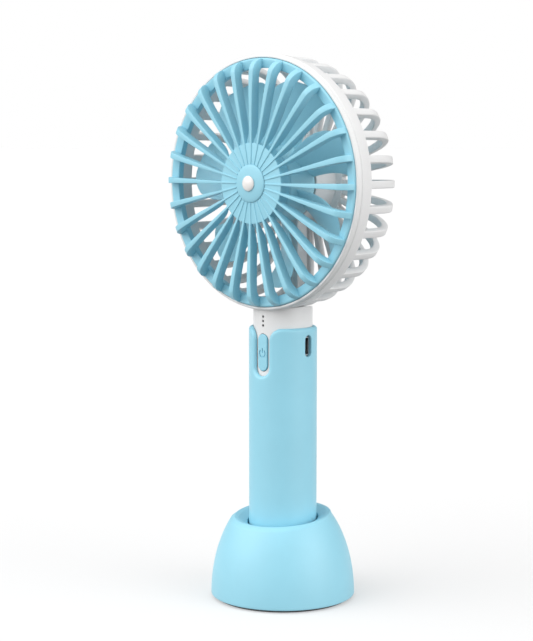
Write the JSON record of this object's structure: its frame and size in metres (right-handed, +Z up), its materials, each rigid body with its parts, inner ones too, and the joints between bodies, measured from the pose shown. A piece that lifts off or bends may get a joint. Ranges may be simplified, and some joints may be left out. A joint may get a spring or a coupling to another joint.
{
  "type": "handheld fan",
  "caption": "Handheld electric fan with a round ribbed head, petal impeller, cylindrical grip with a press button, and a domed desk stand it lifts out of.",
  "frame": {"origin": "on the handle's axis at the level of the stand's foot, which is the middle of the bounding box's underside", "axes": "+Z up the handle from stand to head, -Y the way the fan faces and blows, +X the side with the charging socket"},
  "size_m": [0.1018, 0.0588, 0.2203],
  "materials": {
    "sky_blue_plastic": "satin",
    "white_plastic": "satin",
    "pearl_white": "gloss",
    "black_plastic": "satin",
    "smoked_plastic": "gloss",
    "foot_rubber": "matte",
    "plated_steel": "bright",
    "brass": "bright",
    "copper_wire": "enamelled",
    "magnet": "matte",
    "green_board": "satin",
    "cell_wrap": "satin wrap",
    "red_wire": "satin",
    "black_wire": "satin"
  },
  "bodies": {
    "stand": {"stand_shell": "sky_blue_plastic", "stand_base_plate": "sky_blue_plastic", "stand_foot_pad": "foot_rubber", "stand_weight_ring": "plated_steel", "stand_screw_1": "plated_steel", "stand_screw_2": "plated_steel", "stand_screw_3": "plated_steel"},
    "fan": {"handle_sleeve": "sky_blue_plastic", "handle_end_cap": "sky_blue_plastic", "neck_chassis": "white_plastic", "rear_cage": "white_plastic", "front_grille": "sky_blue_plastic", "hub_boss": "sky_blue_plastic", "pearl_bead": "pearl_white", "light_pipe_1": "smoked_plastic", "light_pipe_2": "smoked_plastic", "light_pipe_3": "smoked_plastic", "indicator_lamp_1": "pearl_white", "indicator_lamp_2": "pearl_white", "indicator_lamp_3": "pearl_white", "battery_cell": "cell_wrap", "battery_contact": "plated_steel", "control_board": "green_board", "usb_socket_shell": "plated_steel", "usb_socket_tongue": "black_plastic", "power_switch_body": "black_plastic", "motor_board": "green_board", "motor_lead_red": "red_wire", "motor_lead_black": "black_wire", "bearing_tube": "brass", "front_bearing": "plated_steel", "rear_bearing": "plated_steel", "stator_core": "plated_steel", "stator_winding": "copper_wire"},
    "impeller": {"impeller": "sky_blue_plastic", "rotor_cup": "plated_steel", "rotor_magnet": "magnet", "motor_shaft": "plated_steel", "shaft_retaining_washer": "plated_steel"},
    "power_button": {"power_button": "sky_blue_plastic"},
    "switch_plunger": {"power_switch_plunger": "black_plastic"}
  },
  "joints": [
    {"name": "fan_lift", "type": "slide", "parent": "stand", "child": "fan", "axis": [0, 0, 1], "range_m": [0, 0.04]},
    {"name": "impeller_spin", "type": "hinge", "parent": "fan", "child": "impeller", "pos_m": [0, 0, 0.1694], "axis": [0, 1, 0], "continuous": true},
    {"name": "button_press", "type": "slide", "parent": "fan", "child": "power_button", "axis": [0, 1, 0], "range_m": [0, 0.0005], "stiffness_N_per_m": 1000},
    {"name": "plunger_press", "type": "slide", "parent": "fan", "child": "switch_plunger", "axis": [0, 1, 0], "range_m": [0, 0.0005]}
  ],
  "couplings": [
    {"joint": "plunger_press", "follows": "button_press", "ratio": 1}
  ]
}
